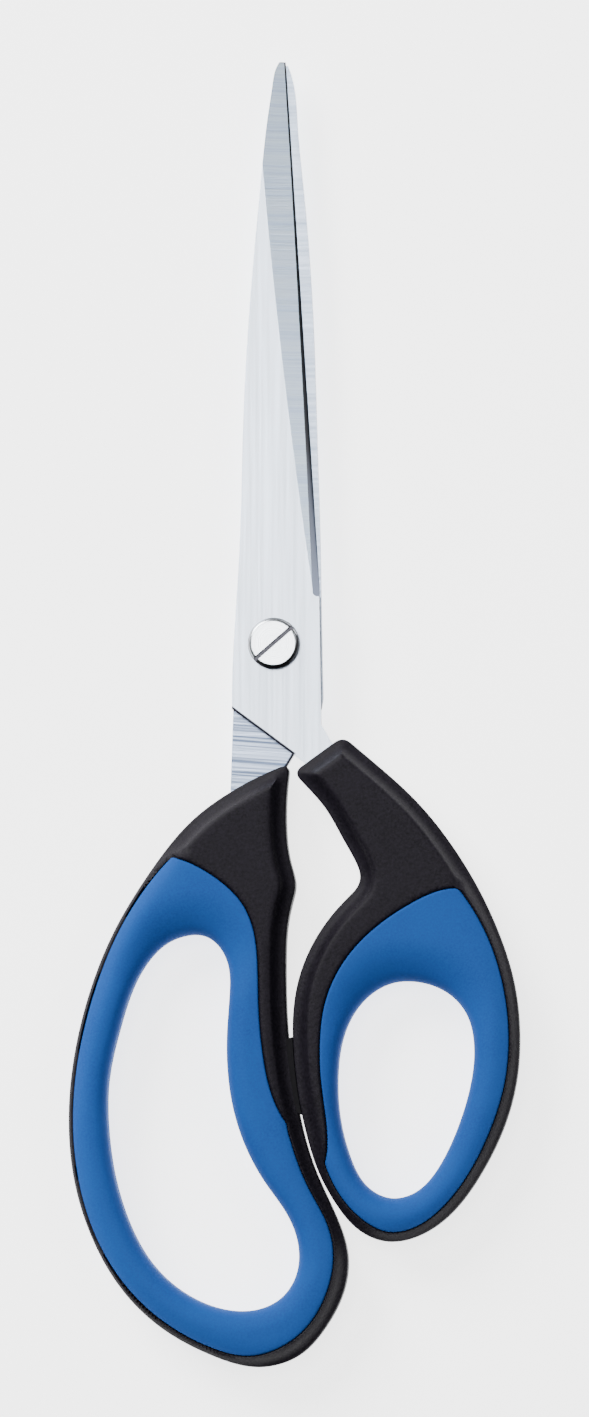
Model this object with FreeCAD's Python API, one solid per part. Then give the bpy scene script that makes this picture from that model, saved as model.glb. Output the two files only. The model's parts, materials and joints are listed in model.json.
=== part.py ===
# Office scissors, closed, lying flat with the pivot axis along +Z. Two ground steel blades turn on a slotted
# screw. Each blade's tang is moulded into a hard black handle that carries a soft blue grip round its loop.
import FreeCAD, Part
import math
import os

V = FreeCAD.Vector

# Driving dimensions, in millimetres. Plan positions are measured from the pivot axis, +Y towards the tips,
# and heights from the plane where the blades meet. place() moves the finished pieces into the part's frame.
BLADE_THICKNESS = 2.5
BLADE_GAP = 0.08            # running gap between the two inner faces
TIP_Y = 114.0
HANDLE_HALF_THICKNESS = 6.5
RIM_CHAMFER = 2.3           # bevelled rim of both handles
HOLE_ROUNDING = 4.4         # rounded lip inside the finger loops
CORE_HALF_THICKNESS = 2.6   # hard plastic running round the loop inside the grip
GRIP_COVER = 2.4            # soft plastic between that core and the finger loop
STOP_GAP = 0.06             # stop buffer to thumb handle, closed

SCREW_SHANK_R = 2.75
SCREW_HEAD_R = 5.0
SCREW_HEAD_HEIGHT = 2.0
SCREW_HEAD_ROUNDING = 0.8
SLOT_WIDTH = 0.8
SLOT_DEPTH = 0.9
SLOT_ANGLE = 41.0           # degrees from +X
THREAD_R = 2.5
THREAD_CHAMFER = 0.3
PIVOT_CLEARANCE = 0.03      # radial, front blade on the screw's smooth shank
WASHER_R = 4.4
WASHER_THICKNESS = 0.3
SPRING_WASHER_R = 4.6
SPRING_WASHER_THICKNESS = 0.5
SPRING_WASHER_SPLIT = 0.6
SPRING_WASHER_TURN = 215.0  # degrees from +Y to the split
NUT_ACROSS_FLATS = 8.0
NUT_HEIGHT = 2.4
NUT_CHAMFER = 0.45
SCREW_END = 0.35            # screw end standing out of the nut

# Bevels of the front blade; the back blade's are the same grinds on its other side.
BEVEL_SLOPE = 0.32          # wide ground bevel
BEVEL_BOW = 0.18            # how much deeper the wheel cuts at half the bevel's length
EDGE_SLOPE = 1.8            # narrow sharpened bevel
EDGE_THICKNESS = 0.12
BEVEL_END_Y = 9.2
BEVEL_END_ROUNDING = 1.2
BEVEL_END_INSET = 0.2       # the rounding starts this far outside the wide bevel's line
BEVEL_TOP_Y = 60.0          # the grind's far corner, which only keeps it off the spine near the heel
HOLLOW_RADIUS = 80.0        # hollow grind on the inner faces
HOLLOW_DEPTH = 0.2
TANG_HOLE_R = 1.6

# Front blade in plan.
FRONT_SPINE = [(1.0, 114.0), (0.2, 112.4), (-0.3, 109.8), (-1.3, 102.8), (-2.5, 91.5), (-4.0, 75.4),
               (-5.2, 59.8), (-6.1, 40.3), (-6.8, 17.0), (-7.9, -0.6), (-8.2, -12.7)]
FRONT_TANG = [(5.8, -23.1), (21.6, -44.6), (24.2, -45.9), (26.6, -44.2), (26.9, -41.3), (11.2, -19.2)]
FRONT_RICASSO = [(9.2, -15.7), (8.8, BEVEL_END_Y)]
FRONT_EDGE = [(8.75, 11.9), (2.2, TIP_Y)]
FRONT_BEVEL_LINE = [(7.2, 13.1), (-2.1, 92.0)]
FRONT_HOLLOW_LINE = [(1.0, 14.0), (1.6, 104.0)]
FRONT_TANG_HOLES = [(14.4, -29.3), (20.8, -38.2)]

# Back blade in plan.
BACK_SPINE = [(2.6, 113.4), (3.2, 111.8), (4.5, 101.5), (5.8, 87.6), (7.0, 73.2), (7.8, 57.7), (8.4, 37.8),
              (8.9, 21.9), (9.2, 4.0), (9.5, -10.4)]
BACK_TANG = [(9.2, -12.5), (0.5, -27.0), (0.2, -46.6), (-0.8, -48.2), (-3.6, -48.2), (-4.8, -46.6),
             (-7.2, -31.0), (-8.6, -28.9)]
BACK_HEEL = (-7.3, BEVEL_END_Y)
BACK_EDGE = [(-7.2, 11.9), (1.6, 113.2)]
BACK_BEVEL_LINE = [(-5.7, 13.1), (5.4, 92.0)]
BACK_HOLLOW_LINE = [(0.6, 14.0), (2.6, 104.0)]
BACK_TANG_HOLES = [(-3.4, -34.2), (-2.4, -42.8)]

# Finger handle: outline from the top corner of its neck down the inner side and round the large loop.
FINGER_OUTLINE = [(3.1, -23.4), (2.4, -31.0), (2.4, -36.0), (3.3, -42.8), (4.2, -47.1), (3.5, -50.6),
                  (2.6, -55.5), (2.3, -62.5), (2.4, -70.5), (3.1, -80.0), (4.9, -91.5), (8.1, -102.6),
                  (12.5, -112.4), (14.4, -119.5), (13.5, -126.1), (10.1, -132.8), (4.8, -138.4), (-2.7, -140.6),
                  (-12.1, -138.3), (-20.7, -133.8), (-29.1, -126.1), (-35.1, -116.1), (-38.7, -105.0),
                  (-39.9, -93.5), (-38.9, -80.5), (-36.0, -68.3), (-31.1, -56.0), (-24.0, -44.3),
                  (-15.3, -33.9), (-9.2, -29.4), (-3.3, -26.1), (3.1, -23.4)]
FINGER_HOLE = [(-16.4, -56.7), (-11.8, -57.9), (-9.1, -62.0), (-8.6, -68.0), (-9.1, -75.5), (-9.0, -83.0),
               (-7.9, -90.5), (-5.3, -98.3), (-1.5, -105.1), (2.4, -110.7), (4.6, -116.2), (4.5, -122.2),
               (1.4, -127.2), (-4.2, -129.6), (-10.7, -129.2), (-17.5, -126.2), (-23.7, -120.6),
               (-28.1, -112.9), (-31.0, -103.7), (-32.4, -93.0), (-32.2, -84.5), (-30.1, -74.9),
               (-26.5, -64.9), (-22.1, -59.2)]
# Grip borders: each runs down the neck side to a kink, then round the loop beside the rim.
FINGER_GRIP_TOP = [(-19.8, -41.5), (-16.3, -42.7), (-12.4, -44.8), (-8.6, -47.7), (-5.5, -51.4),
                   (-3.7, -56.0), (-2.9, -63.0), (-2.7, -71.0), (-1.8, -80.5), (0.6, -89.7), (2.6, -93.2)]
FINGER_GRIP_RIM = [(2.6, -93.2), (4.1, -98.7), (7.2, -106.3), (10.7, -113.2), (11.8, -119.0), (10.5, -126.1),
                   (6.5, -133.0), (0.7, -137.2), (-4.5, -138.5), (-11.8, -137.0), (-20.0, -132.8),
                   (-28.4, -125.3), (-34.4, -115.8), (-37.9, -104.8), (-39.1, -93.5), (-38.1, -80.7),
                   (-35.2, -68.6), (-30.4, -56.4), (-25.0, -47.6), (-19.8, -41.5)]

# Thumb handle: outline from the top corner of its neck down the outer side and round the small loop.
THUMB_OUTLINE = [(13.5, -18.1), (20.0, -23.6), (28.1, -31.1), (35.4, -40.4), (40.3, -48.7), (44.2, -57.5),
                 (46.8, -66.3), (47.8, -75.8), (47.2, -85.1), (44.7, -94.2), (40.0, -103.6), (34.0, -111.3),
                 (28.1, -115.2), (22.2, -116.3), (16.9, -114.3), (12.1, -109.0), (8.6, -102.5), (6.4, -95.6),
                 (4.8, -88.0), (3.9, -80.3), (3.7, -73.5), (4.8, -65.5), (7.9, -57.9), (12.4, -51.6),
                 (14.8, -49.1), (16.3, -47.3), (16.8, -45.3), (16.1, -42.9), (13.6, -38.3), (9.8, -31.8),
                 (6.4, -27.9), (3.8, -25.1)]
THUMB_HOLE = [(24.5, -65.8), (29.6, -66.2), (34.1, -68.3), (37.5, -72.3), (38.9, -78.2), (38.4, -85.0),
              (36.0, -93.5), (32.2, -101.6), (27.3, -106.8), (22.6, -107.8), (18.0, -105.5), (14.8, -99.9),
              (12.8, -92.0), (12.4, -84.0), (13.9, -75.3), (18.3, -68.7)]
THUMB_GRIP_TOP = [(36.0, -47.7), (33.5, -47.9), (27.4, -50.3), (21.4, -54.1), (15.9, -59.1), (12.1, -64.6),
                  (9.8, -70.8), (9.0, -77.7), (9.1, -84.0), (10.0, -91.6), (10.4, -96.5), (9.9, -101.1)]
THUMB_GRIP_RIM = [(9.9, -101.1), (12.7, -107.1), (17.0, -111.9), (22.2, -114.5), (27.0, -113.8), (32.6, -110.0),
                  (38.2, -102.8), (42.7, -93.5), (45.2, -84.6), (45.8, -75.9), (44.8, -67.0), (42.2, -58.3),
                  (36.0, -47.7)]

# Stop buffer: a rubber pad let into the finger handle's inner side. Its face follows the thumb handle.
STOP_INNER = [(1.0, -77.6), (1.6, -83.0), (2.9, -90.2)]
STOP_OUTER = [(7.0, -92.6), (5.0, -76.0)]
STOP_HALF_HEIGHT = 3.8

Z_FRONT = BLADE_GAP / 2                     # inner face of the front blade
Z_FRONT_TOP = Z_FRONT + BLADE_THICKNESS
Z_WASHER_TOP = Z_FRONT_TOP + WASHER_THICKNESS
Z_BACK_BOTTOM = -Z_FRONT_TOP
Z_NUT_TOP = Z_BACK_BOTTOM - SPRING_WASHER_THICKNESS
Z_NUT_BOTTOM = Z_NUT_TOP - NUT_HEIGHT
FAR = 400.0                                 # larger than the part, for cutting tools
STRETCH = 5                                 # outline points spanned by one edge


def at(point, z=0.0):
    return V(point[0], point[1], z)


def polyline(points, z=0.0):
    """Straight edges through the points."""
    return [Part.makeLine(at(a, z), at(b, z)) for a, b in zip(points, points[1:])]


def curve(points, z=0.0, closed=False):
    """A smooth curve through the points, as a few edges that follow on from each other."""
    spline = Part.BSplineCurve()
    spline.interpolate(Points=[at(p, z) for p in points], PeriodicFlag=closed)
    knots = spline.getKnots()
    joins = knots[:-1:STRETCH] + [knots[-1]]
    return [spline.toShape(a, b) for a, b in zip(joins, joins[1:])]


def prism(edges, low, high):
    """The closed outline's edges, drawn at z = 0, as a solid from z = low to high."""
    face = Part.Face(Part.Wire(Part.__sortEdges__(edges)))
    face.translate(V(0, 0, low))
    return face.extrude(V(0, 0, high - low))


def cylinder(radius, low, high, centre=(0.0, 0.0)):
    return Part.makeCylinder(radius, high - low, at(centre, low))


def edges_at(shape, z):
    """The edges that lie flat at height z."""
    flat = []
    for edge in shape.Edges:
        box = edge.BoundBox
        if abs(box.ZMin - z) < 1e-4 and abs(box.ZMax - z) < 1e-4:
            flat.append(edge)
    return flat


def slope_frame(line, height, slope, side):
    """Middle, half length and axes of a face that holds the plan line and falls away to one side of it."""
    start = at(line[0], height)
    end = at(line[1], height)
    along = (end - start).normalize()
    downhill = (V(along.y, -along.x, 0) * side - V(0, 0, slope)).normalize()
    normal = along.cross(downhill)
    if normal.z < 0:
        normal = normal * -1
    return (start + end) * 0.5, (end - start).Length / 2, along, downhill, normal


def wheel(line, height, slope, side, bow):
    """What a large grinding wheel removes: all above a face that dips by the bow at the line's middle."""
    middle, half, along, downhill, normal = slope_frame(line, height, slope, side)
    radius = half * half / (2 * bow)
    centre = middle + normal * (radius - bow) - downhill * (FAR / 2)
    return Part.makeCylinder(radius, FAR, centre, downhill)


def flat_stone(line, height, slope, side):
    """What a flat stone removes: all above a plane."""
    middle, half, along, downhill, normal = slope_frame(line, height, slope, side)
    a = along * (FAR / 2)
    d = downhill * (FAR / 2)
    corners = [middle - a - d, middle + a - d, middle + a + d, middle - a + d, middle - a - d]
    return Part.Face(Part.makePolygon(corners)).extrude(normal * FAR)


def grind(blade, edge_line, bevel_line, side):
    """Cuts the wide bevel and the sharpened edge into the upper side of a blade that lies on z = Z_FRONT."""
    zone = grind_zone(bevel_line[0][0] + side * BEVEL_END_INSET, side)
    wide = zone.common(wheel(bevel_line, Z_FRONT_TOP, BEVEL_SLOPE, side, BEVEL_BOW))
    sharp = zone.common(flat_stone(edge_line, Z_FRONT + EDGE_THICKNESS, EDGE_SLOPE, side))
    return blade.cut(wide).cut(sharp)


def grind_zone(heel_x, side):
    """Where a blade is ground: all beyond the heel, whose corner at heel_x is rounded."""
    r = BEVEL_END_ROUNDING
    diagonal = r * (1 - math.sqrt(0.5))
    start = (heel_x, BEVEL_END_Y + r)
    end = (heel_x + side * r, BEVEL_END_Y)
    corner = Part.Arc(at(start), at((heel_x + side * diagonal, BEVEL_END_Y + diagonal)), at(end)).toShape()
    reach = side * FAR / 2
    far_corners = [(reach, BEVEL_END_Y), (reach, FAR / 2), (-reach, FAR / 2), (-reach, BEVEL_TOP_Y)]
    return prism([corner] + polyline([end] + far_corners + [start]), -BLADE_THICKNESS, 3 * BLADE_THICKNESS)


def hollow(axis_line):
    """A large shallow cylinder that dishes a blade's inner face, deepest at the heel and gone at the tip."""
    start = at(axis_line[0], Z_FRONT + HOLLOW_DEPTH - HOLLOW_RADIUS)
    end = at(axis_line[1], Z_FRONT - HOLLOW_RADIUS)
    along = (end - start).normalize()
    return Part.makeCylinder(HOLLOW_RADIUS, (end - start).Length, start, along)


def front_blade():
    outline = curve(FRONT_SPINE)
    outline += polyline([FRONT_SPINE[-1]] + FRONT_TANG + FRONT_RICASSO + FRONT_EDGE + [FRONT_SPINE[0]])
    blade = prism(outline, Z_FRONT, Z_FRONT_TOP)
    blade = grind(blade, FRONT_EDGE, FRONT_BEVEL_LINE, 1)
    blade = blade.cut(hollow(FRONT_HOLLOW_LINE))
    blade = blade.cut(cylinder(SCREW_SHANK_R + PIVOT_CLEARANCE, -FAR, FAR))
    for hole in FRONT_TANG_HOLES:
        blade = blade.cut(cylinder(TANG_HOLE_R, -FAR, FAR, hole))
    return blade


def back_blade():
    """Made face up like the front blade, then turned over so that its bevels face down."""
    outline = curve(BACK_SPINE)
    outline += polyline([BACK_SPINE[-1]] + BACK_TANG + [BACK_HEEL] + BACK_EDGE + [BACK_SPINE[0]])
    blade = prism(outline, Z_FRONT, Z_FRONT_TOP)
    blade = grind(blade, BACK_EDGE, BACK_BEVEL_LINE, -1)
    blade = blade.cut(hollow(BACK_HOLLOW_LINE))
    blade = blade.cut(cylinder(THREAD_R, -FAR, FAR))
    for hole in BACK_TANG_HOLES:
        blade = blade.cut(cylinder(TANG_HOLE_R, -FAR, FAR, hole))
    return blade.mirror(V(0, 0, 0), V(0, 0, 1))


def pivot_screw():
    head_top = Z_WASHER_TOP + SCREW_HEAD_HEIGHT
    head = cylinder(SCREW_HEAD_R, Z_WASHER_TOP, head_top)
    head = head.makeFillet(SCREW_HEAD_ROUNDING, edges_at(head, head_top))
    slot = Part.makeBox(4 * SCREW_HEAD_R, SLOT_WIDTH, 2 * SLOT_DEPTH,
                        V(-2 * SCREW_HEAD_R, -SLOT_WIDTH / 2, head_top - SLOT_DEPTH))
    slot.rotate(V(0, 0, 0), V(0, 0, 1), SLOT_ANGLE)
    shank = cylinder(SCREW_SHANK_R, -Z_FRONT / 2, Z_WASHER_TOP)
    thread_end = Z_NUT_BOTTOM - SCREW_END
    thread = cylinder(THREAD_R, thread_end, -Z_FRONT / 2)
    thread = thread.makeChamfer(THREAD_CHAMFER, edges_at(thread, thread_end))
    return head.cut(slot).fuse([shank, thread]).removeSplitter()


def head_washer():
    ring = cylinder(WASHER_R, Z_FRONT_TOP, Z_WASHER_TOP)
    return ring.cut(cylinder(SCREW_SHANK_R, -FAR, FAR))


def spring_washer():
    """Split ring that keeps the blades pressed together."""
    ring = cylinder(SPRING_WASHER_R, Z_NUT_TOP, Z_BACK_BOTTOM)
    split = Part.makeBox(SPRING_WASHER_SPLIT, 2 * SPRING_WASHER_R, FAR,
                         V(-SPRING_WASHER_SPLIT / 2, 0, -FAR / 2))
    split.rotate(V(0, 0, 0), V(0, 0, 1), SPRING_WASHER_TURN)
    return ring.cut(cylinder(THREAD_R, -FAR, FAR)).cut(split)


def pivot_nut():
    corner_r = NUT_ACROSS_FLATS / 2 / math.cos(math.radians(30))
    corners = [(corner_r * math.cos(math.radians(60 * k)), corner_r * math.sin(math.radians(60 * k)))
               for k in range(7)]
    nut = prism(polyline(corners), Z_NUT_BOTTOM, Z_NUT_TOP)
    rounded = cylinder(corner_r, Z_NUT_BOTTOM, Z_NUT_TOP)
    rounded = rounded.makeChamfer(NUT_CHAMFER, edges_at(rounded, Z_NUT_BOTTOM))
    return nut.common(rounded).cut(cylinder(THREAD_R, -FAR, FAR))


def envelope(outline, hole):
    """The full outside of a handle, grip included: bevelled rim, rounded lip inside the loop."""
    edges = curve(outline)
    if outline[-1] != outline[0]:
        edges += polyline([outline[-1], outline[0]])
    body = prism(edges, -HANDLE_HALF_THICKNESS, HANDLE_HALF_THICKNESS)
    rims = edges_at(body, HANDLE_HALF_THICKNESS) + edges_at(body, -HANDLE_HALF_THICKNESS)
    body = body.makeChamfer(RIM_CHAMFER, rims)
    loop = prism(curve(hole, closed=True), -FAR / 2, FAR / 2)
    body = body.cut(loop)
    lips = [e for z in (HANDLE_HALF_THICKNESS, -HANDLE_HALF_THICKNESS) for e in edges_at(body, z)
            if inside_box(e, loop.BoundBox)]
    return body.makeFillet(HOLE_ROUNDING, lips)


def inside_box(edge, box):
    b = edge.BoundBox
    return (b.XMin > box.XMin - 0.1 and b.XMax < box.XMax + 0.1
            and b.YMin > box.YMin - 0.1 and b.YMax < box.YMax + 0.1)


def split_handle(whole, border, hole, blade):
    """The hard handle and its soft grip. The handle's core runs on round the loop inside the grip."""
    grip_zone = prism(border, -FAR / 2, FAR / 2)
    cover = prism(curve(widened(hole, GRIP_COVER), closed=True), -FAR / 2, FAR / 2)
    core = prism(border, -CORE_HALF_THICKNESS, CORE_HALF_THICKNESS).cut(cover)
    grip = whole.common(grip_zone).cut(core)
    handle = whole.cut(grip_zone).fuse(whole.common(core)).removeSplitter()
    return handle.cut(blade), grip


def widened(points, distance):
    """Points that lie a distance outside the smooth closed curve through the given ones."""
    spline = Part.BSplineCurve()
    spline.interpolate(Points=[at(p) for p in points], PeriodicFlag=True)
    centre = Part.Face(Part.Wire([spline.toShape()])).CenterOfMass
    moved = []
    for knot in spline.getKnots()[:-1]:
        point = spline.value(knot)
        tangent = spline.tangent(knot)[0]
        outward = V(tangent.y, -tangent.x, 0).normalize()
        if outward.dot(point - centre) < 0:
            outward = outward * -1
        moved.append((point.x + outward.x * distance, point.y + outward.y * distance))
    return moved


def finger_border():
    return curve(FINGER_GRIP_TOP) + curve(FINGER_GRIP_RIM)


def thumb_border():
    return curve(THUMB_GRIP_TOP) + curve(THUMB_GRIP_RIM)


def stop_buffer():
    pad = prism(curve(STOP_INNER) + polyline([STOP_INNER[-1]] + STOP_OUTER + [STOP_INNER[0]]),
                -STOP_HALF_HEIGHT, STOP_HALF_HEIGHT)
    thumb = prism(curve(THUMB_OUTLINE) + polyline([THUMB_OUTLINE[-1], THUMB_OUTLINE[0]]), -FAR / 2, FAR / 2)
    thumb.translate(V(-STOP_GAP, 0, 0))
    return pad.cut(thumb)


def build():
    pieces = {"front_blade": front_blade(), "back_blade": back_blade(), "pivot_screw": pivot_screw(),
              "head_washer": head_washer(), "spring_washer": spring_washer(), "pivot_nut": pivot_nut()}
    finger = envelope(FINGER_OUTLINE, FINGER_HOLE)
    thumb = envelope(THUMB_OUTLINE, THUMB_HOLE)
    buffer = stop_buffer()
    handle, grip = split_handle(finger, finger_border(), FINGER_HOLE, pieces["back_blade"])
    pieces["finger_handle"] = handle.cut(buffer)
    pieces["finger_grip"] = grip
    handle, grip = split_handle(thumb, thumb_border(), THUMB_HOLE, pieces["front_blade"])
    pieces["thumb_handle"] = handle
    pieces["thumb_grip"] = grip
    pieces["stop_buffer"] = buffer
    return pieces


def place(pieces):
    """Moves the pieces so that the origin is the centre of the footprint, on the surface they lie on."""
    box = Part.makeCompound(list(pieces.values())).optimalBoundingBox(False, False)
    shift = V(-box.Center.x, -box.Center.y, -box.ZMin)
    for shape in pieces.values():
        shape.translate(shift)
    return shift


def main():
    os.makedirs("parts", exist_ok=True)
    pieces = build()
    pivot = place(pieces)
    print("pivot axis at x %.3f, y %.3f, blades meet at z %.3f" % (pivot.x, pivot.y, pivot.z))
    for name, shape in sorted(pieces.items()):
        facts = (name, len(shape.Solids), shape.isValid(), shape.Volume)
        print("%-14s solids %d valid %s volume %.1f" % facts)
        shape.exportStep("parts/%s.step" % name)


main()
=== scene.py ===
# Office scissors lying closed on a pale table: finished steel, grained hard handles and crowned soft grips.
import bmesh
import bpy
import json
import math
import numpy as np
from mathutils import Matrix, Vector
from mathutils.geometry import delaunay_2d_cdt


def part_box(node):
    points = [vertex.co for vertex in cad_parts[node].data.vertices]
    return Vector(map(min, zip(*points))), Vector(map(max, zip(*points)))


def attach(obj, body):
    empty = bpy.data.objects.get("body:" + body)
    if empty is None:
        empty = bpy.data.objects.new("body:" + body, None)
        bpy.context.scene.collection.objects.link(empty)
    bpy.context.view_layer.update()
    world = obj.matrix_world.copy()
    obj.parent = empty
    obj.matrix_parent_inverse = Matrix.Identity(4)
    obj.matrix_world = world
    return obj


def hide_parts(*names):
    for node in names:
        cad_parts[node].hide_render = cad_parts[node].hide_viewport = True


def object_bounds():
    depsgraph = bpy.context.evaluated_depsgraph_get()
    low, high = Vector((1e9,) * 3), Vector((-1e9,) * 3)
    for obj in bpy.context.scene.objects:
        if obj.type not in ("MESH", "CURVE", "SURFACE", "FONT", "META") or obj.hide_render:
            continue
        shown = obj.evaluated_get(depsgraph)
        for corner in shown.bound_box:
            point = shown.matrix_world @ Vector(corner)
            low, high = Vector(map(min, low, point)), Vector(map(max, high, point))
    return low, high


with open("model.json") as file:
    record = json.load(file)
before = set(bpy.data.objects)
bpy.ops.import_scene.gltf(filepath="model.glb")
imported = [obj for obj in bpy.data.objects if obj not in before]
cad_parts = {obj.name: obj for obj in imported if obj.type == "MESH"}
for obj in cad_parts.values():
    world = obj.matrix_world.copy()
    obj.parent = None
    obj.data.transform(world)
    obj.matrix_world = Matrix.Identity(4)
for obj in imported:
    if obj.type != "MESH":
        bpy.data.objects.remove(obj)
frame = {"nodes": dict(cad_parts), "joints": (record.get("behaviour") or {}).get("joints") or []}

CAD_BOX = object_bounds()
MM = 0.001

# Handle section, in mm. Heights are measured from the middle of the thickness, where both halves mirror.
PIVOT = Vector(frame["joints"][0]["pos_m"]) / MM
MIDDLE = PIVOT.z
HALF_THICKNESS = (CAD_BOX[1].z - CAD_BOX[0].z) / MM / 2
RIM_BAND = 2.9              # width of the bevelled band beside the outline
RIM_DROP = 2.7              # how far that band falls
RIM_HOLLOW = 2.6            # 1 is a flat band; above, it falls steeply beside the ridge and then flattens
HOLLOW_FADE = 3.5           # the band is flat where the grip begins and grows hollow over this distance
RIDGE_SOFTNESS = 0.22
GRIP_SHOULDER_SOFTNESS = 1.5
WALL_ROUNDING = 0.55
GROOVE_HALF_WIDTH = 0.11    # parting line between hard and soft plastic
GROOVE_ROUNDING = 0.3
LEDGE_REACH = 1.1           # the hard plastic runs on under the grip's edge, this far and this deep
LEDGE_DEPTH = 1.2
LIP_ROUNDING = 1.7          # edge of the finger loops
DISH_WIDTH = 4.2            # scoop running down into the loops
DISH_DEPTH = 1.7
DISH_WIDTH_TOP = 9.0        # the scoop is wider and deeper at the neck end of each loop
DISH_DEPTH_TOP = 3.4
DISH_FADE = 13.0
STEP = 0.4                  # spacing along outlines
NECK_CORNER = 1.9           # rounding of the necks' corners in plan
SEAM_CORNER = 0.5
WALL_HEIGHT = 4.0           # where the outlines are taken: above the stop buffer, below the bevelled rim
HOLE_HEIGHT = 1.0           # where the finger loops are narrowest

# Outlines read from the CAD nodes. Spacings are in mm, turns in degrees.
SHORT_STEP = 0.02           # points closer than this are one point
SLIGHT_TURN = 0.25          # a point that turns the outline less than this adds nothing
CORNER_TURN = 25            # one that turns it more than this is a real corner
CREASE_TURN = 46            # faces that meet at more than this keep a visible edge

# Mesh rows beside each outline of the mouldings, as distances from it, and the spacing of points between.
RIM_ROWS = (0.12, 0.3, 0.55, 1.0, 1.6, 2.1, 2.45, 2.7, 2.9, 3.1, 3.4, 3.9)
LEDGE_ROWS = tuple(LEDGE_REACH + d for d in (-0.02, 0.02, 0.11, 0.2, 0.32, 0.5))
SEAM_ROWS = (0.1, 0.22, 0.4, 0.8, 1.3)
LIP_ROWS = (0.05, 0.15, 0.35, 0.65, 1.05, 1.5, 2.1)
DENSE_ROWS = 0.7            # rows nearer than this keep every point, the others every second one
ROW_CLEARANCE = 0.93        # a row's point goes if an outline is nearer than this share of its distance
FILL_CLEARANCE = 0.3
SHELL_SPACING = 0.9
GRIP_SPACING = 0.8
ROW_HEIGHT = 0.866          # of a triangular grid, in spacings

# Steel parts, in mm from the pivot.
SLOT_DEPTH = 0.9            # the screw's slot
HEEL_FROM_PIVOT = 9.2       # where the blades' grinds end
EDGE_FADE = 30.0            # the sharpened edge's painted dark, a painted reflection of dark surroundings, deepens over this length from the heel
TANG_FROM_PIVOT = -11.0     # below this the inner faces are ground coarser, and coloured darker as painted shade of the front blade lying over them
TANG_FADE = 1.0
TANG_LINES_TURN = -4.5      # degrees
EDGE_SHADE_WIDTH = 0.38           # width of a painted shade line along the sheared edge between blade and tang
FRONT_EDGE_SHADE = ((-8.2, -12.7), (3.8, -21.6))      # that edge from end to end, with the steel on its left
BACK_EDGE_SHADE = ((0.5, -27.0), (9.2, -12.5))

TABLE_DROP = 0.00006        # the table lies just under the lowest moulded point, in metres


# ---------------------------------------------------------------- outlines

def slice_loops(node, height):
    """Closed outlines of a CAD node at a height above the middle, largest first, in mm."""
    mesh = frame["nodes"][node].data
    mesh.calc_loop_triangles()
    places = np.empty(len(mesh.vertices) * 3)
    mesh.vertices.foreach_get("co", places)
    places = places.reshape(-1, 3) / MM
    corners = np.empty(len(mesh.loop_triangles) * 3, dtype=np.int32)
    mesh.loop_triangles.foreach_get("vertices", corners)
    corners = corners.reshape(-1, 3)
    level = MIDDLE + height
    above = places[:, 2] > level
    count = above[corners].sum(1)
    links = {}
    for triangle in corners[(count > 0) & (count < 3)]:
        ends = []
        for i, j in ((0, 1), (1, 2), (2, 0)):
            a, b = triangle[i], triangle[j]
            if above[a] == above[b]:
                continue
            p, q = sorted((tuple(places[a]), tuple(places[b])))
            t = (level - p[2]) / (q[2] - p[2])
            ends.append((p[0] + (q[0] - p[0]) * t, p[1] + (q[1] - p[1]) * t))
        if ends[0] != ends[1]:
            links.setdefault(ends[0], []).append(ends[1])
            links.setdefault(ends[1], []).append(ends[0])
    loops = []
    left = set(links)
    while left:
        start = min(left)
        loop = [start]
        left.discard(start)
        here = start
        while True:
            onward = [p for p in links[here] if p in left]
            if not onward:
                break
            here = onward[0]
            left.discard(here)
            loop.append(here)
        loops.append(np.array(loop))
    return sorted(loops, key=lambda loop: -abs(area(loop)))


def area(loop):
    x, y = loop.T
    return float((x * np.roll(y, -1) - y * np.roll(x, -1)).sum() / 2)


def turns(loop):
    """Change of direction at each point of a closed outline, in degrees."""
    before = loop - np.roll(loop, 1, 0)
    after = np.roll(loop, -1, 0) - loop
    cross = before[:, 0] * after[:, 1] - before[:, 1] * after[:, 0]
    return np.degrees(np.abs(np.arctan2(cross, (before * after).sum(1))))


def spline(points, first, last, step):
    """Natural cubic spline through points, sampled evenly from point number first up to, not with, last."""
    gaps = np.hypot(*np.diff(points, axis=0).T)
    along = np.r_[0, np.cumsum(gaps)]
    n = len(points)
    matrix = np.eye(n)
    right = np.zeros((n, 2))
    for i in range(1, n - 1):
        matrix[i, i - 1:i + 2] = gaps[i - 1], 2 * (gaps[i - 1] + gaps[i]), gaps[i]
        leaving = (points[i + 1] - points[i]) / gaps[i]
        arriving = (points[i] - points[i - 1]) / gaps[i - 1]
        right[i] = 6 * (leaving - arriving)
    bend = np.linalg.solve(matrix, right)
    samples = max(2, round((along[last] - along[first]) / step))
    t = np.linspace(along[first], along[last], samples, endpoint=False)
    k = np.clip(np.searchsorted(along, t, side="right") - 1, 0, n - 2)
    h = gaps[k][:, None]
    a = (along[k + 1] - t)[:, None]
    b = (t - along[k])[:, None]
    return ((bend[k] * a ** 3 + bend[k + 1] * b ** 3) / (6 * h)
            + (points[k] / h - bend[k] * h / 6) * a + (points[k + 1] / h - bend[k + 1] * h / 6) * b)


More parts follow.
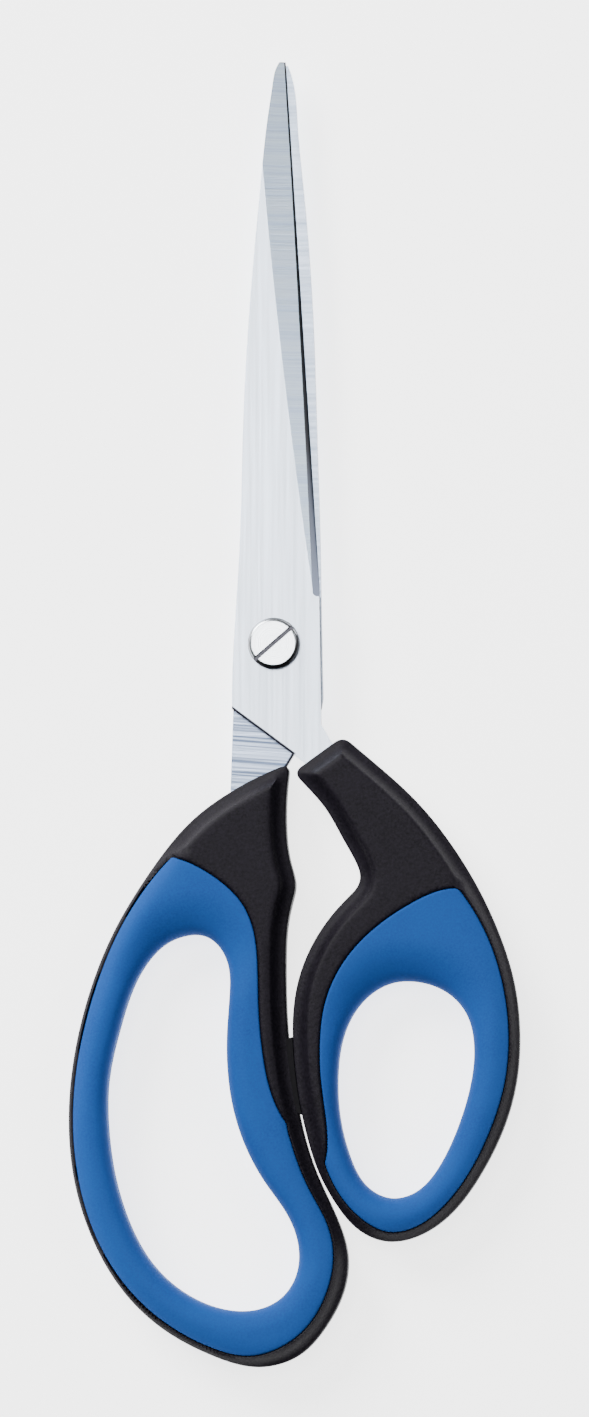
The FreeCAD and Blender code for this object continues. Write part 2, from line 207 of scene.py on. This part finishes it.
def smooth_outline(loop, corner_radius, inward):
    """Evenly spaced smooth outline with rounded corners. Material lies to the left of its direction."""
    loop = loop[np.hypot(*(loop - np.roll(loop, 1, 0)).T) > SHORT_STEP]
    loop = loop[turns(loop) > SLIGHT_TURN]
    if (area(loop) > 0) != inward:
        loop = loop[::-1]
    corners = list(np.nonzero(turns(loop) > CORNER_TURN)[0])
    if not corners:
        overlap = 6
        wrapped = np.vstack([loop[-overlap:], loop, loop[:overlap + 1]])
        return spline(wrapped, overlap, overlap + len(loop), STEP)
    loop = np.roll(loop, -corners[0], 0)
    corners = [c - corners[0] for c in corners] + [len(loop)]
    closed = np.vstack([loop, loop[:1]])
    parts = [spline(closed[a:b + 1], 0, b - a, STEP) for a, b in zip(corners, corners[1:])]
    dense = np.vstack(parts)
    places = np.cumsum([0] + [len(p) for p in parts[:-1]])
    reach = max(1, round(corner_radius / STEP))
    rounded = dense.copy()
    for c in places:
        a, b = dense[(c - reach) % len(dense)], dense[(c + reach) % len(dense)]
        for k in range(-reach, reach + 1):
            u = (k + reach) / (2 * reach)
            rounded[(c + k) % len(dense)] = (1 - u) ** 2 * a + 2 * u * (1 - u) * dense[c] + u * u * b
    return rounded


def batches(points, size=1500):
    """Slices that keep the tables of points against outline small."""
    return [slice(first, first + size) for first in range(0, len(points), size)]


def nearest(points, loop):
    """Distance from each point to a closed outline, and the nearest place on it."""
    edge = np.roll(loop, -1, 0) - loop
    square = (edge ** 2).sum(1)
    distance = np.empty(len(points))
    foot = np.empty((len(points), 2))
    for batch in batches(points):
        some = points[batch]
        t = np.clip(((some[:, None] - loop) * edge).sum(2) / square, 0, 1)
        feet = loop + t[..., None] * edge
        gap = ((some[:, None] - feet) ** 2).sum(2)
        best = gap.argmin(1)
        rows = np.arange(len(some))
        distance[batch] = np.sqrt(gap[rows, best])
        foot[batch] = feet[rows, best]
    return distance, foot


def inside(points, loop):
    end = np.roll(loop, -1, 0)
    rise = end[:, 1] - loop[:, 1]
    rise = np.where(rise == 0, 1e-12, rise)
    result = np.empty(len(points), dtype=bool)
    for batch in batches(points):
        x, y = points[batch].T[..., None]
        crosses = (loop[:, 1] > y) != (end[:, 1] > y)
        at = loop[:, 0] + (y - loop[:, 1]) / rise * (end[:, 0] - loop[:, 0])
        result[batch] = (crosses & (x < at)).sum(1) % 2 == 1
    return result


def between(points, outer, inner):
    return inside(points, outer) & ~inside(points, inner)


def moved(loop, distance):
    """The outline's points moved into the material, which lies on the left."""
    along = np.roll(loop, -1, 0) - np.roll(loop, 1, 0)
    along /= np.hypot(*along.T)[:, None]
    return loop + np.c_[-along[:, 1], along[:, 0]] * distance


# ---------------------------------------------------------------- mouldings

def moulding(name, outer, inner, outer_rows, inner_rows, spacing, height):
    """A closed solid between two outlines: the upper side at the given height, the lower side its mirror."""
    rows = []
    for loop, distances in ((outer, outer_rows), (inner, inner_rows)):
        for number, distance in enumerate(distances):
            thin = 1 if distance < DENSE_ROWS else 2
            points = moved(loop, distance)[number % thin::thin]
            points = points[between(points, outer, inner)]
            near = np.minimum(nearest(points, outer)[0], nearest(points, inner)[0])
            rows.append(points[near > ROW_CLEARANCE * distance])
    low, high = outer.min(0), outer.max(0)
    across = np.arange(low[0], high[0], spacing)
    upward = np.arange(low[1], high[1], spacing * ROW_HEIGHT)
    grid = np.array([(x + spacing / 2 * (k % 2), y) for k, y in enumerate(upward) for x in across])
    grid = grid[between(grid, outer, inner)]
    clear_outside = nearest(grid, outer)[0] > outer_rows[-1] + FILL_CLEARANCE
    clear_inside = nearest(grid, inner)[0] > inner_rows[-1] + FILL_CLEARANCE
    rows.append(grid[clear_outside & clear_inside])
    extra = np.vstack(rows)
    extra = extra[between(extra, outer, inner)]
    flat = np.vstack([outer, inner, extra])
    n, m = len(outer), len(inner)
    borders = [(i, (i + 1) % n) for i in range(n)] + [(n + i, n + (i + 1) % m) for i in range(m)]
    result = delaunay_2d_cdt([Vector(p) for p in flat], borders, [], 0, 1e-7)
    places, triangles, origin = np.array([v[:] for v in result[0]]), np.array(result[2]), result[3]
    middles = places[triangles].mean(1)
    triangles = triangles[between(middles, outer, inner)]
    used = {k: i for i, sources in enumerate(origin) for k in sources}
    z = height(places)
    top = np.c_[places, MIDDLE + z]
    bottom = np.c_[places, MIDDLE - z]
    count = len(places)
    faces = [tuple(t) for t in triangles] + [(c + count, b + count, a + count) for a, b, c in triangles]
    for a, b in borders:
        a, b = used[a], used[b]
        faces.append((b, a, a + count, b + count))
    mesh = bpy.data.meshes.new(name)
    faces = [tuple(int(i) for i in face) for face in faces]
    mesh.from_pydata((np.vstack([top, bottom]) * MM).tolist(), [], faces)
    mesh.update()
    clean(mesh)
    piece = bpy.data.objects.new(name, mesh)
    bpy.context.scene.collection.objects.link(piece)
    return piece


def clean(mesh):
    """Drops unused vertices, points faces outwards and shades smoothly across all but sharp corners."""
    work = bmesh.new()
    work.from_mesh(mesh)
    loose = [v for v in work.verts if not v.link_faces]
    bmesh.ops.delete(work, geom=loose, context="VERTS")
    bmesh.ops.recalc_face_normals(work, faces=work.faces)
    work.to_mesh(mesh)
    work.free()
    mesh.shade_smooth()
    mesh.set_sharp_from_angle(angle=math.radians(CREASE_TURN))


def soft_ramp(x, softness):
    """Zero for negative x, x for positive x, with a rounded bend between."""
    return (x + np.sqrt(x * x + softness * softness)) / 2


def rounding(distance, radius):
    """How far a rounded edge of that radius falls at a distance from the edge."""
    t = np.clip(1 - distance / radius, 0, 1)
    return radius * (1 - np.sqrt(np.clip(1 - t * t, 0, 1)))


def smooth_step(x):
    x = np.clip(x, 0, 1)
    return x * x * (3 - 2 * x)


def handle_half(side):
    """The hard handle and the soft grip of one half, "finger" or "thumb"."""
    hard, soft = side + "_handle", side + "_grip"
    outline = smooth_outline(slice_loops(hard, WALL_HEIGHT)[0], NECK_CORNER, True)
    border = smooth_outline(slice_loops(soft, WALL_HEIGHT)[0], SEAM_CORNER, True)
    hole = smooth_outline(slice_loops(soft, HOLE_HEIGHT)[1], SEAM_CORNER, False)
    hole_top = hole[:, 1].max()
    slope = RIM_DROP / RIM_BAND

    def hard_height(points):
        rim = nearest(points, outline)[0]
        seam = np.maximum(nearest(points, border)[0] - GROOVE_HALF_WIDTH, 0)
        edge = np.where(inside(points, border), LEDGE_DEPTH, rounding(seam, GROOVE_ROUNDING))
        hollow = 1 + (RIM_HOLLOW - 1) * smooth_step(seam / HOLLOW_FADE)
        out = np.clip(soft_ramp(RIM_BAND - rim, RIDGE_SOFTNESS) / RIM_BAND, 0, 1)
        return (HALF_THICKNESS - RIM_DROP * (1 - (1 - out) ** hollow)
                - rounding(rim, WALL_ROUNDING) * 0.6 - edge)

    def soft_height(points):
        rim = nearest(points, outline)[0]
        seam = nearest(points, border)[0] - GROOVE_HALF_WIDTH
        lip, foot = nearest(points, hole)
        top = smooth_step(1 - (hole_top - foot[:, 1]) / DISH_FADE)
        width = DISH_WIDTH + (DISH_WIDTH_TOP - DISH_WIDTH) * top
        depth = DISH_DEPTH + (DISH_DEPTH_TOP - DISH_DEPTH) * top
        dish = depth * np.clip(1 - lip / width, 0, 1) ** 2
        return (HALF_THICKNESS - soft_ramp((RIM_BAND - rim) * slope, GRIP_SHOULDER_SOFTNESS)
                + soft_ramp(-RIM_BAND * slope * 2, GRIP_SHOULDER_SOFTNESS)
                - dish - rounding(lip, LIP_ROUNDING) - rounding(seam, GROOVE_ROUNDING))

    hard_inner = moved(border, LEDGE_REACH)[::-1]
    soft_outer = moved(border, GROOVE_HALF_WIDTH)
    shell = moulding(hard + "_moulded", outline, hard_inner, RIM_ROWS, LEDGE_ROWS,
                     SHELL_SPACING, hard_height)
    grip = moulding(soft + "_moulded", soft_outer, hole, SEAM_ROWS, LIP_ROWS,
                    GRIP_SPACING, soft_height)
    body = side + "_half"
    for piece, node, slot in ((shell, hard, "hard_plastic"), (grip, soft, "soft_grip")):
        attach(piece, body)
        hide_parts(node)
    return shell, grip


# ---------------------------------------------------------------- finishes

class Finish:
    """A node material in the making, with short names for the nodes this scene needs."""

    def __init__(self, name):
        self.material = bpy.data.materials.new(name)
        self.material.use_nodes = True
        self.nodes = self.material.node_tree.nodes
        self.links = self.material.node_tree.links
        self.shader = self.nodes["Principled BSDF"]
        self.place = self.nodes.new("ShaderNodeTexCoord")

    def set(self, **values):
        for name, value in values.items():
            self.shader.inputs[name.replace("_", " ")].default_value = value

    def join(self, source, target):
        self.links.new(source, target)

    def noise(self, scale, detail=3.0, roughness=0.5, stretch=(1, 1, 1), turn=0.0):
        """Noise stretched along the axes, all of it turned about Z by an angle in degrees."""
        turned = self.nodes.new("ShaderNodeVectorRotate")
        turned.rotation_type = "Z_AXIS"
        turned.inputs["Angle"].default_value = math.radians(-turn)
        self.join(self.place.outputs["Object"], turned.inputs["Vector"])
        mapping = self.nodes.new("ShaderNodeMapping")
        mapping.inputs["Scale"].default_value = [scale * s for s in stretch]
        self.join(turned.outputs["Vector"], mapping.inputs["Vector"])
        texture = self.nodes.new("ShaderNodeTexNoise")
        texture.inputs["Scale"].default_value = 1.0
        texture.inputs["Detail"].default_value = detail
        texture.inputs["Roughness"].default_value = roughness
        self.join(mapping.outputs["Vector"], texture.inputs["Vector"])
        return texture.outputs["Fac"]

    def remap(self, value, low, high, to_low, to_high):
        node = self.nodes.new("ShaderNodeMapRange")
        node.inputs["From Min"].default_value = low
        node.inputs["From Max"].default_value = high
        node.inputs["To Min"].default_value = to_low
        node.inputs["To Max"].default_value = to_high
        self.join(value, node.inputs["Value"])
        return node.outputs["Result"]

    def math(self, operation, a, b):
        node = self.nodes.new("ShaderNodeMath")
        node.operation = operation
        for value, socket in ((a, node.inputs[0]), (b, node.inputs[1])):
            if isinstance(value, (int, float)):
                socket.default_value = value
            else:
                self.join(value, socket)
        return node.outputs[0]

    def mix(self, factor, a, b):
        node = self.nodes.new("ShaderNodeMix")
        node.data_type = "RGBA"
        if isinstance(factor, (int, float)):
            node.inputs[0].default_value = factor
        else:
            self.join(factor, node.inputs[0])
        for value, socket in ((a, node.inputs[6]), (b, node.inputs[7])):
            if isinstance(value, tuple):
                socket.default_value = (*value, 1)
            else:
                self.join(value, socket)
        return node.outputs[2]

    def vector(self, operation, a, b):
        node = self.nodes.new("ShaderNodeVectorMath")
        node.operation = operation
        self.join(a, node.inputs[0])
        node.inputs[1].default_value = b
        return node

    def bump(self, height, distance, strength=1.0):
        node = self.nodes.new("ShaderNodeBump")
        node.inputs["Strength"].default_value = strength
        node.inputs["Distance"].default_value = distance
        self.join(height, node.inputs["Height"])
        self.join(node.outputs["Normal"], self.shader.inputs["Normal"])

    def part(self, source, axis):
        """One coordinate of the place ("Object") or of the surface's own direction ("Normal")."""
        node = self.nodes.new("ShaderNodeSeparateXYZ")
        self.join(self.place.outputs[source], node.inputs["Vector"])
        return node.outputs[axis]

    def band(self, value, rise, fall):
        """1 between the two ranges, ramping up over rise and down over fall, and 0 elsewhere."""
        return self.math("MULTIPLY", self.remap(value, *fall, 1.0, 0.0), self.remap(value, *rise, 0.0, 1.0))


def blade_steel(name, ground_side, shade_line):
    """Satin rolled steel on the flat, crosswise grinding lines on the bevels and on the inner face, which
    looks up or down as ground_side is 1 or -1. The sharpened edge is painted dark as a painted reflection,
    darker away from its heel; the inner face, the side walls, the tang and a line along the edge over the
    tang carry painted shade."""
    f = Finish(name)
    f.set(Metallic=1.0)
    z = f.math("MULTIPLY", f.part("Normal", "Z"), float(ground_side))
    inner = f.remap(z, 0.9, 0.95, 0.0, 1.0)
    outer = f.math("MULTIPLY", z, -1.0)
    wide_bevel = f.band(outer, (0.85, 0.9), (0.97, 0.985))
    sharp_bevel = f.band(outer, (0.3, 0.4), (0.75, 0.8))
    side_wall = f.band(outer, (-0.3, -0.2), (0.2, 0.3))
    fine_lines = f.remap(f.noise(1.0, 4.0, 0.65, (25, 3000, 60)), 0.35, 0.65, 0.0, 1.0)
    coarse_lines = f.remap(f.noise(1.0, 3.0, 0.6, (14, 1500, 40)), 0.35, 0.65, 0.0, 1.0)
    bands = f.remap(f.noise(1.0, 2.0, 0.5, (12, 320, 30)), 0.3, 0.7, 0.0, 0.5)
    rolling = f.remap(f.noise(1.0, 3.0, 0.6, (1700, 30, 60)), 0.3, 0.7, 0.0, 1.0)
    clouds = f.remap(f.noise(45.0, 3.0), 0.3, 0.7, 0.0, 0.6)
    flat = f.mix(rolling, (0.47, 0.53, 0.62), (0.55, 0.61, 0.70))
    flat = f.mix(clouds, flat, (0.58, 0.64, 0.73))
    bevel = f.mix(fine_lines, (0.40, 0.53, 0.78), (0.70, 0.84, 1.0))
    bevel = f.mix(bands, bevel, (0.80, 0.91, 1.0))
    # The inner face's darker tone is partly its grinding and partly painted shade from the other blade lying
    # over it.
    back = f.mix(coarse_lines, (0.20, 0.25, 0.33), (0.42, 0.48, 0.58))
    back = f.mix(bands, back, (0.40, 0.46, 0.56))
    y = f.part("Object", "Y")
    heel_y = (PIVOT.y + HEEL_FROM_PIVOT) * MM
    along = f.remap(y, heel_y, heel_y + EDGE_FADE * MM, 0.0, 1.0)
    tang_y = (PIVOT.y + TANG_FROM_PIVOT) * MM
    tang = f.remap(y, tang_y - TANG_FADE * MM, tang_y, 1.0, 0.0)
    rough_lines = f.remap(f.noise(1.0, 2.0, 0.5, (16, 2300, 40), TANG_LINES_TURN), 0.40, 0.60, 0.0, 1.0)
    # The tang's coarse lines are its grinding; its darker colours are painted shade from the front blade
    # above it.
    back = f.mix(tang, back, f.mix(rough_lines, (0.075, 0.10, 0.155), (0.34, 0.40, 0.52)))
    # Painted reflection: the steep sharpened facet is coloured near-black for the dark surroundings it
    # reflects, darkest away from the heel.
    edge = f.mix(along, (0.075, 0.09, 0.13), (0.012, 0.012, 0.015))
    colour = f.mix(wide_bevel, flat, bevel)
    colour = f.mix(inner, colour, back)
    colour = f.mix(sharp_bevel, colour, edge)
    # Painted shade: the blades' side walls are coloured dark grey instead of bright steel.
    colour = f.mix(side_wall, colour, (0.10, 0.11, 0.13))
    # Painted shade: a thin near-black line along the blade's edge over the tang, standing in for the shadow
    # and gap between the blades.
    start, end = ((PIVOT.xy + Vector(point)).to_3d() * MM for point in shade_line)
    onward = (end - start).normalized()
    offset = f.vector("SUBTRACT", f.place.outputs["Object"], start)
    along_shade_line = f.vector("DOT_PRODUCT", offset.outputs["Vector"], onward).outputs["Value"]
    leftward = (-onward.y, onward.x, 0)
    into_steel = f.vector("DOT_PRODUCT", offset.outputs["Vector"], leftward).outputs["Value"]
    length = (end - start).length
    width = EDGE_SHADE_WIDTH * MM
    beside_shade_line = f.remap(into_steel, width, 1.5 * width, 1.0, 0.0)
    shade_line_mask = f.math("MULTIPLY", beside_shade_line, f.remap(along_shade_line, length, length + width, 1.0, 0.0))
    f.join(f.mix(shade_line_mask, colour, (0.008, 0.008, 0.012)), f.shader.inputs["Base Color"])
    ground = f.math("MAXIMUM", wide_bevel, inner)
    marks = f.math("ADD", f.math("MULTIPLY", fine_lines, ground),
                   f.math("MULTIPLY", rolling, f.math("SUBTRACT", 1.0, ground)))
    f.join(f.remap(marks, 0.0, 1.0, 0.29, 0.37), f.shader.inputs["Roughness"])
    grooves = f.math("ADD", f.math("MULTIPLY", f.math("ADD", fine_lines, coarse_lines), ground),
                     f.math("MULTIPLY", rolling, 0.1))
    f.bump(grooves, 0.000006, 0.6)
    return f.material


def turned_steel(slot_floor, head_top):
    """Bright turned head with painted shadow in the slot and painted shade on its sides, the darkest towards
    the thumb loop. The heights are those of the slot, in metres."""
    f = Finish("turned_steel")
    f.set(Metallic=1.0)
    z = f.part("Normal", "Z")
    # Painted shade: the head's sloped sides are coloured dark, most on the side facing the thumb loop, away
    # from the key light.
    thumb_side_shade = f.vector("DOT_PRODUCT", f.place.outputs["Normal"], (0.5, -0.85, 0.0)).outputs["Value"]
    side = f.math("MAXIMUM", f.remap(z, 0.35, 0.82, 1.0, 0.0), f.remap(thumb_side_shade, 0.05, 0.16, 0.0, 1.0))
    third = (head_top - slot_floor) / 3
    # Painted shadow: the slot's floor is coloured near-black where its walls would shade it.
    low = f.remap(f.part("Object", "Z"), slot_floor + third, head_top - third, 1.0, 0.0)
    slot = f.math("MULTIPLY", low, f.remap(z, 0.9, 0.95, 0.0, 1.0))
    shift = f.vector("SUBTRACT", f.place.outputs["Object"], PIVOT * MM)
    flat = f.vector("MULTIPLY", shift.outputs["Vector"], (1, 1, 0))
    length = f.nodes.new("ShaderNodeVectorMath")
    length.operation = "LENGTH"
    f.join(flat.outputs["Vector"], length.inputs[0])
    rings = f.nodes.new("ShaderNodeTexNoise")
    rings.noise_dimensions = "1D"
    rings.inputs["Scale"].default_value = 5200.0
    rings.inputs["Detail"].default_value = 2.0
    f.join(length.outputs["Value"], rings.inputs["W"])
    turning = f.remap(rings.outputs["Fac"], 0.3, 0.7, 0.0, 1.0)
    colour = f.mix(turning, (0.60, 0.63, 0.67), (0.72, 0.75, 0.79))
    colour = f.mix(side, colour, (0.03, 0.03, 0.034))
    f.join(f.mix(slot, colour, (0.03, 0.03, 0.035)), f.shader.inputs["Base Color"])
    f.join(f.remap(turning, 0.0, 1.0, 0.20, 0.30), f.shader.inputs["Roughness"])
    f.bump(turning, 0.000004, 0.5)
    return f.material


def plated_steel():
    f = Finish("plated_steel")
    f.set(Metallic=1.0)
    clouds = f.noise(900.0, 3.0)
    f.join(f.mix(clouds, (0.55, 0.56, 0.58), (0.72, 0.73, 0.75)), f.shader.inputs["Base Color"])
    f.join(f.remap(clouds, 0.3, 0.7, 0.25, 0.4), f.shader.inputs["Roughness"])
    f.bump(clouds, 0.00002, 0.3)
    return f.material


def hard_plastic():
    """Black moulding with a fine spark-eroded grain."""
    f = Finish("hard_plastic")
    f.set(Specular_IOR_Level=0.12)
    grain = f.noise(1900.0, 4.0, 0.7)
    broad = f.remap(f.noise(140.0, 3.0), 0.3, 0.7, 0.0, 0.4)
    colour = f.mix(f.remap(grain, 0.3, 0.7, 0.0, 1.0), (0.0014, 0.0010, 0.0022), (0.0145, 0.0122, 0.0182))
    f.join(f.mix(broad, colour, (0.0115, 0.0096, 0.0146)), f.shader.inputs["Base Color"])
    f.join(f.remap(grain, 0.3, 0.7, 0.46, 0.60), f.shader.inputs["Roughness"])
    f.bump(grain, 0.00014, 0.7)
    return f.material


def soft_plastic():
    """Blue soft-touch moulding: matt, with a faint grain."""
    f = Finish("soft_grip")
    f.set(Specular_IOR_Level=0.04)
    grain = f.noise(2600.0, 2.0, 0.55)
    broad = f.remap(f.noise(110.0, 3.0), 0.3, 0.7, 0.0, 0.45)
    colour = f.mix(f.remap(grain, 0.3, 0.7, 0.0, 1.0), (0.0125, 0.060, 0.243), (0.0155, 0.077, 0.295))
    f.join(f.mix(broad, colour, (0.0165, 0.085, 0.315)), f.shader.inputs["Base Color"])
    f.join(f.remap(grain, 0.3, 0.7, 0.55, 0.68), f.shader.inputs["Roughness"])
    f.bump(grain, 0.00003, 0.35)
    return f.material


def buffer_rubber():
    f = Finish("buffer_rubber")
    grain = f.noise(2000.0, 2.0)
    f.set(Specular_IOR_Level=0.15)
    f.join(f.mix(grain, (0.0010, 0.0008, 0.0016), (0.0034, 0.0028, 0.0046)), f.shader.inputs["Base Color"])
    f.join(f.remap(grain, 0.3, 0.7, 0.6, 0.75), f.shader.inputs["Roughness"])
    f.bump(grain, 0.00003, 0.3)
    return f.material


def paint(thing, material):
    thing.data.materials.clear()
    thing.data.materials.append(material)


# ---------------------------------------------------------------- stage

def table_top():
    mesh = bpy.data.meshes.new("table_top")
    reach = 3.0
    mesh.from_pydata([(-reach, -reach, 0), (reach, -reach, 0), (reach, reach, 0), (-reach, reach, 0)], [],
                     [(0, 1, 2, 3)])
    top = bpy.data.objects.new("table_top", mesh)
    top.location.z = -TABLE_DROP
    bpy.context.scene.collection.objects.link(top)
    f = Finish("pale_table")
    speckle = f.noise(40.0, 2.0)
    f.join(f.mix(speckle, (0.90, 0.90, 0.90), (0.92, 0.92, 0.92)), f.shader.inputs["Base Color"])
    f.set(Roughness=0.9, Specular_IOR_Level=0.1, Emission_Color=(1, 1, 1, 1), Emission_Strength=3.0)
    paint(top, f.material)


def soft_light(name, place, aim, size, watts):
    light = bpy.data.lights.new(name, "AREA")
    light.shape = "SQUARE"
    light.size = size
    light.energy = watts
    lamp = bpy.data.objects.new(name, light)
    lamp.location = place
    lamp.rotation_euler = (Vector(aim) - Vector(place)).to_track_quat("-Z", "Y").to_euler()
    bpy.context.scene.collection.objects.link(lamp)


def camera():
    """Looks almost straight down, from a little to the right of the scissors and below them."""
    lens = 250.0
    sensor = 36.0
    frame_height = 0.2762
    distance = lens / sensor * frame_height
    aim = (PIVOT + Vector((3.9, -12.5, 0.0))) * MM
    direction = Vector((math.tan(math.radians(2.5)), -math.tan(math.radians(3.0)), 1.0)).normalized()
    data = bpy.data.cameras.new("camera")
    data.lens = lens
    data.sensor_width = sensor
    data.clip_end = 10.0
    eye = bpy.data.objects.new("camera", data)
    right = Vector((0, 1, 0)).cross(direction).normalized()
    upward = direction.cross(right)
    turn = Matrix((right, upward, direction)).transposed().to_4x4()
    eye.matrix_world = Matrix.Translation(aim + direction * distance) @ turn
    bpy.context.scene.collection.objects.link(eye)
    bpy.context.scene.camera = eye


def surroundings():
    world = bpy.data.worlds.new("studio")
    world.use_nodes = True
    background = world.node_tree.nodes["Background"]
    background.inputs["Color"].default_value = (0.93, 0.96, 1.0, 1)
    background.inputs["Strength"].default_value = 0.15
    bpy.context.scene.world = world


nodes = frame["nodes"]
finger_shell, finger_grip = handle_half("finger")
thumb_shell, thumb_grip = handle_half("thumb")
hard = hard_plastic()
soft = soft_plastic()
for piece in (finger_shell, thumb_shell):
    paint(piece, hard)
for piece in (finger_grip, thumb_grip):
    paint(piece, soft)
paint(nodes["front_blade"], blade_steel("front_blade_steel", -1, FRONT_EDGE_SHADE))
paint(nodes["back_blade"], blade_steel("back_blade_steel", 1, BACK_EDGE_SHADE))
screw_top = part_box("pivot_screw")[1].z
paint(nodes["pivot_screw"], turned_steel(screw_top - SLOT_DEPTH * MM, screw_top))
plated = plated_steel()
for name in ("head_washer", "spring_washer", "pivot_nut"):
    paint(nodes[name], plated)
paint(nodes["stop_buffer"], buffer_rubber())

table_top()
surroundings()
soft_light("key", (-0.8, 0.9, 0.95), (0, 0, 0), 0.8, 44.0)
soft_light("overhead", (-0.28, 0.25, 2.1), (0, 0, 0), 0.6, 16.5)
soft_light("fill", (0.75, 0.05, 1.0), (0, 0, 0), 0.4, 2.7)
camera()
